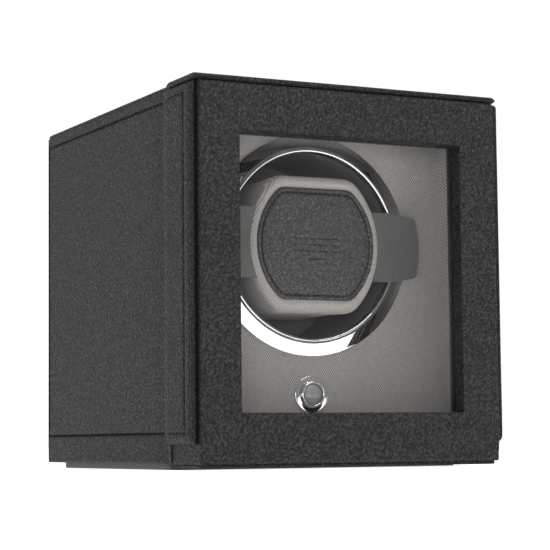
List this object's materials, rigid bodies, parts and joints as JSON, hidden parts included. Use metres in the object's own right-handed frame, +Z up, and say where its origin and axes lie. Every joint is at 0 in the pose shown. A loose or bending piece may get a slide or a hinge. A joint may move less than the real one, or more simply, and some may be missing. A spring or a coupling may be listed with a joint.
{
  "type": "watch winder box",
  "caption": "Leather-covered box with a glazed hinged door, a motor-driven drum and a sprung cuff that keeps an automatic watch wound.",
  "frame": {"origin": "under the middle of the box, on the surface that it stands on", "axes": "+Z up, -Y out of the glazed front, +X to the right seen from the front"},
  "size_m": [0.1396, 0.165, 0.1524],
  "materials": {
    "black_leather": "pebbled pigmented leather, satin",
    "grey_leather": "pebbled pigmented leather, satin",
    "fibreboard": "raw fibreboard",
    "taupe_cloth": "diagonal-weave cloth",
    "cuff_cloth": "short-pile suede cloth",
    "black_felt": "wool felt",
    "chrome": "polished",
    "zinc_steel": "zinc plated",
    "motor_steel": "drawn can",
    "spring_steel": "drawn wire",
    "magnet": "nickel plated",
    "brass": "turned",
    "aluminium": "turned",
    "white_nylon": "moulded nylon",
    "circuit_board": "solder mask over glass laminate",
    "black_components": "moulded component packages",
    "black_plastic": "fine texture",
    "black_screws": "black oxide",
    "drum_plastic": "smooth moulded",
    "grey_plastic": "smooth moulded",
    "battery_jacket": "printed steel jacket",
    "red_wire": "insulated wire",
    "window_glass": "clear float glass",
    "clear_lens": "clear moulded lens"
  },
  "bodies": {
    "case": {"case_side_boards": "fibreboard", "case_end_boards": "fibreboard", "case_back_board": "fibreboard", "case_left_leather": "black_leather", "case_right_leather": "black_leather", "case_back_leather": "black_leather", "case_top_pad": "black_leather", "case_lining": "taupe_cloth", "base_pad": "black_felt", "case_magnets": "magnet", "fascia_cloth": "taupe_cloth", "fascia_board": "fibreboard", "rotor_bush": "brass", "motor_plate": "zinc_steel", "chassis_posts": "aluminium", "chassis_screws": "zinc_steel", "gear_motor": "motor_steel", "button_bezel": "chrome", "button_nut": "brass", "button_spring": "spring_steel", "board_spacers": "white_nylon", "control_board": "circuit_board", "board_parts": "black_components", "rear_plate": "black_plastic", "dc_jack": "black_plastic", "direction_switch": "black_plastic", "battery_tray": "black_plastic", "battery_cell": "battery_jacket", "battery_contacts": "spring_steel", "internal_leads": "red_wire"},
    "door": {"door_front_board": "fibreboard", "door_rails": "fibreboard", "door_face_leather": "black_leather", "glass_pane": "window_glass", "glass_retainer": "black_plastic", "retainer_screws": "black_screws", "door_left_pad": "black_leather", "door_right_pad": "black_leather", "door_top_pad": "black_leather", "door_bottom_pad": "black_leather", "door_lining": "taupe_cloth", "door_magnets": "magnet", "hinge_leather": "black_leather"},
    "rotor": {"drum_cup": "drum_plastic", "drum_ring": "chrome", "drum_gear": "white_nylon", "rotor_shaft": "zinc_steel", "shaft_clip": "spring_steel"},
    "pinion": {"pinion": "brass", "motor_shaft": "zinc_steel"},
    "cuff": {"cuff_bar": "grey_plastic", "cuff_core": "grey_plastic", "cuff_sleeve": "cuff_cloth", "cuff_face_leather": "grey_leather", "cuff_springs": "spring_steel"},
    "cuff_back": {"cuff_back_pad": "cuff_cloth", "cuff_pins": "zinc_steel"},
    "button": {"button_lens": "clear_lens"},
    "direction_knob": {"direction_knob": "black_plastic"},
    "battery_door": {"battery_door": "black_plastic"}
  },
  "joints": [
    {"name": "door_hinge", "type": "hinge", "parent": "case", "child": "door", "pos_m": [-0.0694, -0.05535, 0.0755], "axis": [0, 0, -1], "range_deg": [0, 120], "deforming": ["hinge_leather"]},
    {"name": "drum_spin", "type": "hinge", "parent": "case", "child": "rotor", "pos_m": [0, -0.02255, 0.0912], "axis": [0, -1, 0], "continuous": true},
    {"name": "pinion_spin", "type": "hinge", "parent": "case", "child": "pinion", "pos_m": [0, 0.00745, 0.1201], "axis": [0, -1, 0], "continuous": true},
    {"name": "cuff_slide", "type": "slide", "parent": "rotor", "child": "cuff", "axis": [0, -1, 0], "range_m": [0, 0.018]},
    {"name": "cuff_squeeze", "type": "slide", "parent": "cuff", "child": "cuff_back", "axis": [0, -1, 0], "range_m": [0, 0.0055], "stiffness_N_per_m": 900, "springref_m": -0.002, "deforming": ["cuff_springs"]},
    {"name": "button_press", "type": "slide", "parent": "case", "child": "button", "axis": [0, 1, 0], "range_m": [0, 0.0015], "stiffness_N_per_m": 600, "springref_m": -0.001, "deforming": ["button_spring"]},
    {"name": "direction_slide", "type": "slide", "parent": "case", "child": "direction_knob", "axis": [1, 0, 0], "range_m": [-0.003, 0.003]},
    {"name": "battery_door_hinge", "type": "hinge", "parent": "case", "child": "battery_door", "pos_m": [0, 0.08145, 0.0117], "axis": [-1, 0, 0], "range_deg": [0, 95]}
  ],
  "couplings": [
    {"joint": "pinion_spin", "follows": "drum_spin", "ratio": -5}
  ]
}
